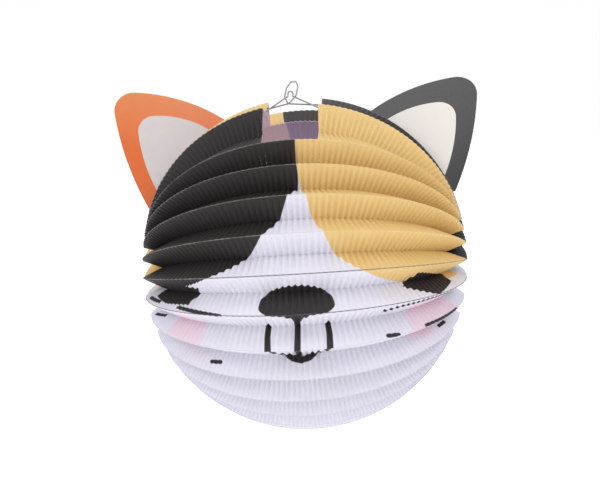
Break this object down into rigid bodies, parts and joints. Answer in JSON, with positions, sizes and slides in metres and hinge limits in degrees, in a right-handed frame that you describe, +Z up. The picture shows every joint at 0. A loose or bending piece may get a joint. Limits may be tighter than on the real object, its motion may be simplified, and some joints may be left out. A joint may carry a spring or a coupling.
{
  "type": "accordion paper lantern",
  "caption": "Round paper lantern with side-to-side accordion pleats, an open mouth at the top, two cat ears and a two-part wire handle that hooks over the mouth.",
  "frame": {"origin": "under the crown of the eye of the wire handle, where the lantern hangs", "axes": "+Z up; +X to the right of someone who looks at the face; the face looks to -Y"},
  "size_m": [0.244, 0.2239, 0.2373],
  "materials": {
    "front_paper": "matt, crimped across its pleats",
    "back_paper": "matt, crimped across its pleats",
    "glued_paper": "matt",
    "ear_card": "glossy printed card",
    "wire": "bright drawn wire"
  },
  "bodies": {
    "base": {"bottom_pleat": "front_paper", "pleat_ends_left": "glued_paper", "pleat_ends_right": "glued_paper"},
    "front_rim": {"front_rim_left": "front_paper", "front_rim_right": "front_paper"},
    "back_rim": {"back_rim_left": "back_paper", "back_rim_right": "back_paper"},
    "ears": {"ear_left": "ear_card", "ear_right": "ear_card"},
    "front_pleat_02": {"front_pleat_02": "front_paper"},
    "front_pleat_03": {"front_pleat_03": "front_paper"},
    "front_pleat_04": {"front_pleat_04": "front_paper"},
    "front_pleat_05": {"front_pleat_05": "front_paper"},
    "front_pleat_06": {"front_pleat_06": "front_paper"},
    "front_pleat_07": {"front_pleat_07": "front_paper"},
    "front_pleat_08": {"front_pleat_08": "front_paper"},
    "front_pleat_09": {"front_pleat_09": "front_paper"},
    "front_pleat_10": {"front_pleat_10": "front_paper"},
    "front_pleat_11": {"front_pleat_11": "front_paper"},
    "front_pleat_12": {"front_pleat_12": "front_paper"},
    "front_pleat_13": {"front_pleat_13": "front_paper"},
    "back_pleat_02": {"back_pleat_02": "back_paper"},
    "back_pleat_03": {"back_pleat_03": "back_paper"},
    "back_pleat_04": {"back_pleat_04": "back_paper"},
    "back_pleat_05": {"back_pleat_05": "back_paper"},
    "back_pleat_06": {"back_pleat_06": "back_paper"},
    "back_pleat_07": {"back_pleat_07": "back_paper"},
    "back_pleat_08": {"back_pleat_08": "back_paper"},
    "back_pleat_09": {"back_pleat_09": "back_paper"},
    "back_pleat_10": {"back_pleat_10": "back_paper"},
    "back_pleat_11": {"back_pleat_11": "back_paper"},
    "back_pleat_12": {"back_pleat_12": "back_paper"},
    "back_pleat_13": {"back_pleat_13": "back_paper"},
    "front_bail": {"front_bail": "wire"},
    "back_bail": {"back_bail": "wire"}
  },
  "joints": [
    {"name": "front_rim_fold", "type": "hinge", "parent": "base", "child": "front_rim", "pos_m": [0, 0, -0.1233], "axis": [1, 0, 0], "range_deg": [0, 157.41], "deforming": ["front_rim_left", "front_rim_right", "bottom_pleat"]},
    {"name": "front_pleat_02_fold", "type": "hinge", "parent": "base", "child": "front_pleat_02", "pos_m": [0, 0, -0.1233], "axis": [1, 0, 0], "range_deg": [0, 137.1], "deforming": ["front_pleat_02"]},
    {"name": "front_pleat_03_fold", "type": "hinge", "parent": "base", "child": "front_pleat_03", "pos_m": [0, 0, -0.1233], "axis": [1, 0, 0], "range_deg": [0, 125.52], "deforming": ["front_pleat_03"]},
    {"name": "front_pleat_04_fold", "type": "hinge", "parent": "base", "child": "front_pleat_04", "pos_m": [0, 0, -0.1233], "axis": [1, 0, 0], "range_deg": [0, 113.47], "deforming": ["front_pleat_04"]},
    {"name": "front_pleat_05_fold", "type": "hinge", "parent": "base", "child": "front_pleat_05", "pos_m": [0, 0, -0.1233], "axis": [1, 0, 0], "range_deg": [0, 100.91], "deforming": ["front_pleat_05"]},
    {"name": "front_pleat_06_fold", "type": "hinge", "parent": "base", "child": "front_pleat_06", "pos_m": [0, 0, -0.1233], "axis": [1, 0, 0], "range_deg": [0, 88.03], "deforming": ["front_pleat_06"]},
    {"name": "front_pleat_07_fold", "type": "hinge", "parent": "base", "child": "front_pleat_07", "pos_m": [0, 0, -0.1233], "axis": [1, 0, 0], "range_deg": [0, 75.16], "deforming": ["front_pleat_07"]},
    {"name": "front_pleat_08_fold", "type": "hinge", "parent": "base", "child": "front_pleat_08", "pos_m": [0, 0, -0.1233], "axis": [1, 0, 0], "range_deg": [0, 62.72], "deforming": ["front_pleat_08"]},
    {"name": "front_pleat_09_fold", "type": "hinge", "parent": "base", "child": "front_pleat_09", "pos_m": [0, 0, -0.1233], "axis": [1, 0, 0], "range_deg": [0, 51.09], "deforming": ["front_pleat_09"]},
    {"name": "front_pleat_10_fold", "type": "hinge", "parent": "base", "child": "front_pleat_10", "pos_m": [0, 0, -0.1233], "axis": [1, 0, 0], "range_deg": [0, 40.39], "deforming": ["front_pleat_10"]},
    {"name": "front_pleat_11_fold", "type": "hinge", "parent": "base", "child": "front_pleat_11", "pos_m": [0, 0, -0.1233], "axis": [1, 0, 0], "range_deg": [0, 30.45], "deforming": ["front_pleat_11"]},
    {"name": "front_pleat_12_fold", "type": "hinge", "parent": "base", "child": "front_pleat_12", "pos_m": [0, 0, -0.1233], "axis": [1, 0, 0], "range_deg": [0, 20.82], "deforming": ["front_pleat_12"]},
    {"name": "front_pleat_13_fold", "type": "hinge", "parent": "base", "child": "front_pleat_13", "pos_m": [0, 0, -0.1233], "axis": [1, 0, 0], "range_deg": [0, 10.87], "deforming": ["front_pleat_13"]},
    {"name": "back_rim_fold", "type": "hinge", "parent": "base", "child": "back_rim", "pos_m": [0, 0, -0.1233], "axis": [1, 0, 0], "range_deg": [-157.42, 0], "deforming": ["back_rim_left", "back_rim_right"]},
    {"name": "back_pleat_02_fold", "type": "hinge", "parent": "base", "child": "back_pleat_02", "pos_m": [0, 0, -0.1233], "axis": [1, 0, 0], "range_deg": [-145.17, 0], "deforming": ["back_pleat_02"]},
    {"name": "back_pleat_03_fold", "type": "hinge", "parent": "base", "child": "back_pleat_03", "pos_m": [0, 0, -0.1233], "axis": [1, 0, 0], "range_deg": [-133.07, 0], "deforming": ["back_pleat_03"]},
    {"name": "back_pleat_04_fold", "type": "hinge", "parent": "base", "child": "back_pleat_04", "pos_m": [0, 0, -0.1233], "axis": [1, 0, 0], "range_deg": [-120.98, 0], "deforming": ["back_pleat_04"]},
    {"name": "back_pleat_05_fold", "type": "hinge", "parent": "base", "child": "back_pleat_05", "pos_m": [0, 0, -0.1233], "axis": [1, 0, 0], "range_deg": [-108.88, 0], "deforming": ["back_pleat_05"]},
    {"name": "back_pleat_06_fold", "type": "hinge", "parent": "base", "child": "back_pleat_06", "pos_m": [0, 0, -0.1233], "axis": [1, 0, 0], "range_deg": [-96.79, 0], "deforming": ["back_pleat_06"]},
    {"name": "back_pleat_07_fold", "type": "hinge", "parent": "base", "child": "back_pleat_07", "pos_m": [0, 0, -0.1233], "axis": [1, 0, 0], "range_deg": [-84.69, 0], "deforming": ["back_pleat_07"]},
    {"name": "back_pleat_08_fold", "type": "hinge", "parent": "base", "child": "back_pleat_08", "pos_m": [0, 0, -0.1233], "axis": [1, 0, 0], "range_deg": [-72.59, 0], "deforming": ["back_pleat_08"]},
    {"name": "back_pleat_09_fold", "type": "hinge", "parent": "base", "child": "back_pleat_09", "pos_m": [0, 0, -0.1233], "axis": [1, 0, 0], "range_deg": [-60.5, 0], "deforming": ["back_pleat_09"]},
    {"name": "back_pleat_10_fold", "type": "hinge", "parent": "base", "child": "back_pleat_10", "pos_m": [0, 0, -0.1233], "axis": [1, 0, 0], "range_deg": [-48.4, 0], "deforming": ["back_pleat_10"]},
    {"name": "back_pleat_11_fold", "type": "hinge", "parent": "base", "child": "back_pleat_11", "pos_m": [0, 0, -0.1233], "axis": [1, 0, 0], "range_deg": [-36.3, 0], "deforming": ["back_pleat_11"]},
    {"name": "back_pleat_12_fold", "type": "hinge", "parent": "base", "child": "back_pleat_12", "pos_m": [0, 0, -0.1233], "axis": [1, 0, 0], "range_deg": [-24.21, 0], "deforming": ["back_pleat_12"]},
    {"name": "back_pleat_13_fold", "type": "hinge", "parent": "base", "child": "back_pleat_13", "pos_m": [0, 0, -0.1233], "axis": [1, 0, 0], "range_deg": [-12.11, 0], "deforming": ["back_pleat_13"]},
    {"name": "ears_fold", "type": "hinge", "parent": "base", "child": "ears", "pos_m": [0, 0, -0.1233], "axis": [1, 0, 0], "range_deg": [-151.3, 0]},
    {"name": "front_bail_swing", "type": "hinge", "parent": "front_rim", "child": "front_bail", "pos_m": [0, -0.02692, -0.01768], "axis": [1, 0, 0], "range_deg": [0, 95]},
    {"name": "back_bail_swing", "type": "hinge", "parent": "back_rim", "child": "back_bail", "pos_m": [0, 0.02692, -0.01768], "axis": [1, 0, 0], "range_deg": [-95, 0]}
  ],
  "couplings": [
    {"joint": "front_pleat_02_fold", "follows": "front_rim_fold", "ratio": 0.87085},
    {"joint": "front_pleat_03_fold", "follows": "front_rim_fold", "ratio": 0.79731},
    {"joint": "front_pleat_04_fold", "follows": "front_rim_fold", "ratio": 0.72076},
    {"joint": "front_pleat_05_fold", "follows": "front_rim_fold", "ratio": 0.641},
    {"joint": "front_pleat_06_fold", "follows": "front_rim_fold", "ratio": 0.55913},
    {"joint": "front_pleat_07_fold", "follows": "front_rim_fold", "ratio": 0.47736},
    {"joint": "front_pleat_08_fold", "follows": "front_rim_fold", "ratio": 0.39838},
    {"joint": "front_pleat_09_fold", "follows": "front_rim_fold", "ratio": 0.32444},
    {"joint": "front_pleat_10_fold", "follows": "front_rim_fold", "ratio": 0.25646},
    {"joint": "front_pleat_11_fold", "follows": "front_rim_fold", "ratio": 0.19337},
    {"joint": "front_pleat_12_fold", "follows": "front_rim_fold", "ratio": 0.1322},
    {"joint": "front_pleat_13_fold", "follows": "front_rim_fold", "ratio": 0.068943},
    {"joint": "back_rim_fold", "follows": "front_rim_fold", "ratio": -1},
    {"joint": "back_pleat_02_fold", "follows": "front_rim_fold", "ratio": -0.92215},
    {"joint": "back_pleat_03_fold", "follows": "front_rim_fold", "ratio": -0.8453},
    {"joint": "back_pleat_04_fold", "follows": "front_rim_fold", "ratio": -0.76846},
    {"joint": "back_pleat_05_fold", "follows": "front_rim_fold", "ratio": -0.69161},
    {"joint": "back_pleat_06_fold", "follows": "front_rim_fold", "ratio": -0.61477},
    {"joint": "back_pleat_07_fold", "follows": "front_rim_fold", "ratio": -0.53792},
    {"joint": "back_pleat_08_fold", "follows": "front_rim_fold", "ratio": -0.46107},
    {"joint": "back_pleat_09_fold", "follows": "front_rim_fold", "ratio": -0.38423},
    {"joint": "back_pleat_10_fold", "follows": "front_rim_fold", "ratio": -0.30738},
    {"joint": "back_pleat_11_fold", "follows": "front_rim_fold", "ratio": -0.23054},
    {"joint": "back_pleat_12_fold", "follows": "front_rim_fold", "ratio": -0.15369},
    {"joint": "back_pleat_13_fold", "follows": "front_rim_fold", "ratio": -0.076846},
    {"joint": "ears_fold", "follows": "front_rim_fold", "ratio": -0.96107},
    {"joint": "back_bail_swing", "follows": "front_bail_swing", "ratio": -1}
  ]
}
